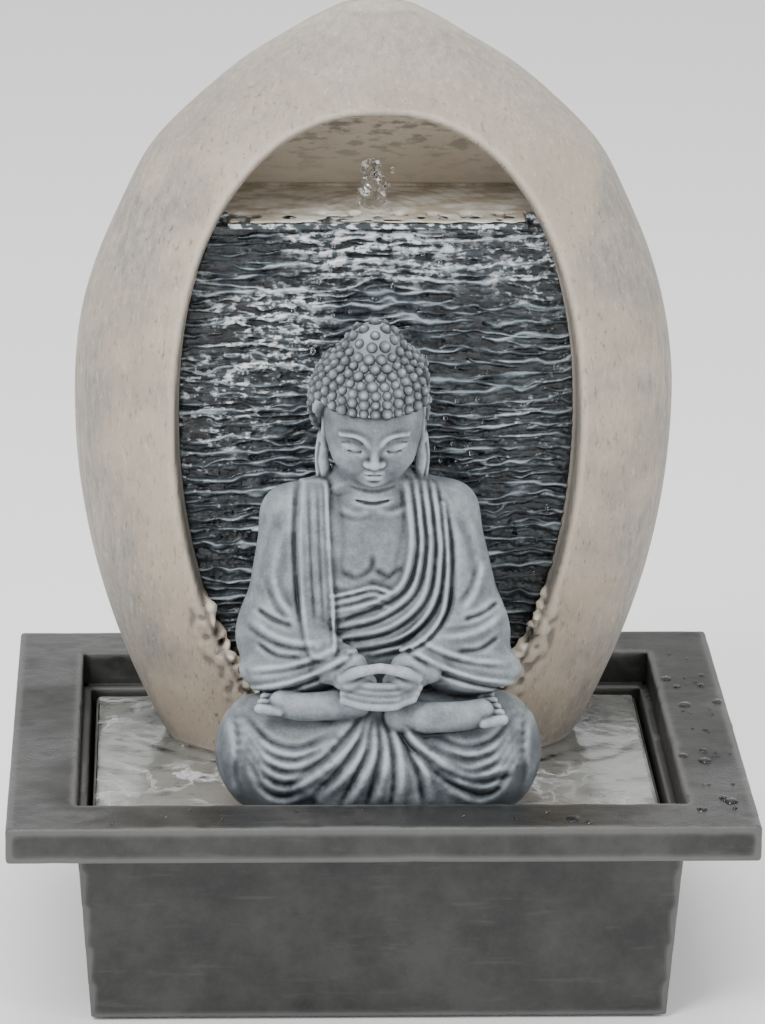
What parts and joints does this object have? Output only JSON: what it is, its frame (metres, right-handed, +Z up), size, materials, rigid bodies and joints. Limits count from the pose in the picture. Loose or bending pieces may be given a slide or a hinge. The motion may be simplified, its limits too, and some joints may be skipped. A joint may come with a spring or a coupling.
{
  "type": "tabletop water fountain",
  "caption": "Tabletop fountain: slate-look basin, egg-shaped niche with a stacked-slate water wall, upper pool and a cross-legged seated figure; lift-out top over a pump.",
  "frame": {"origin": "centre of the overall box at the surface the fountain stands on", "axes": "+Z up, the figure faces -Y, +X to the viewer's right"},
  "size_m": [0.3, 0.24, 0.3956],
  "materials": {
    "basin_slate": "matte",
    "deck_stone": "satin",
    "shell_sandstone": "matte",
    "slate_blue": "satin",
    "pool_stone": "satin",
    "figure_slate": "satin",
    "hatch_stone": "matte",
    "pad_rubber": "matte",
    "seal_rubber": "matte",
    "pump_plastic": "matte",
    "pump_cover_plastic": "satin",
    "dial_plastic": "satin",
    "impeller_plastic": "satin",
    "nozzle_plastic": "satin",
    "hose_vinyl": "satin",
    "magnet": "matte",
    "ceramic_shaft": "polished",
    "screw_steel": "satin",
    "core_steel": "satin",
    "copper_coil": "satin",
    "filter_foam": "matte"
  },
  "bodies": {
    "base": {"basin": "basin_slate", "foot_pads": "pad_rubber", "pump_housing": "pump_plastic", "pump_rear_cap": "pump_cover_plastic", "cable_gland": "seal_rubber", "stator_core": "core_steel", "stator_coil": "copper_coil", "impeller_shaft": "ceramic_shaft", "rear_bush": "seal_rubber", "front_bush": "ceramic_shaft", "volute_cover": "pump_cover_plastic", "volute_seal": "seal_rubber", "suction_cups": "seal_rubber"},
    "upper": {"plinth": "deck_stone", "shell_screws": "screw_steel", "figure_screws": "screw_steel", "niche_shell": "shell_sandstone", "slate_wall": "slate_blue", "wall_screws": "screw_steel", "upper_pool": "pool_stone", "bubbler_nozzle": "nozzle_plastic", "nozzle_seal": "seal_rubber", "nozzle_nut": "nozzle_plastic", "riser_hose": "hose_vinyl", "hose_clip": "screw_steel", "seated_figure": "figure_slate"},
    "rotor": {"rotor_magnet": "magnet", "impeller": "impeller_plastic"},
    "intake": {"intake_cover": "pump_cover_plastic", "filter_sponge": "filter_foam"},
    "dial": {"flow_regulator": "dial_plastic"},
    "hatch": {"rear_hatch": "hatch_stone"}
  },
  "joints": [
    {"name": "upper_lift", "type": "slide", "parent": "base", "child": "upper", "axis": [0, 0, 1], "range_m": [0, 0.16]},
    {"name": "hatch_pull", "type": "slide", "parent": "upper", "child": "hatch", "axis": [0, 1, 0], "range_m": [0, 0.04]},
    {"name": "rotor_spin", "type": "hinge", "parent": "base", "child": "rotor", "pos_m": [0.02, 0.044, 0.029], "axis": [1, 0, 0], "continuous": true},
    {"name": "intake_pull", "type": "slide", "parent": "base", "child": "intake", "axis": [1, 0, 0], "range_m": [0, 0.035]},
    {"name": "dial_turn", "type": "hinge", "parent": "intake", "child": "dial", "pos_m": [0.02, 0.044, 0.029], "axis": [1, 0, 0], "range_deg": [0, 45]}
  ]
}
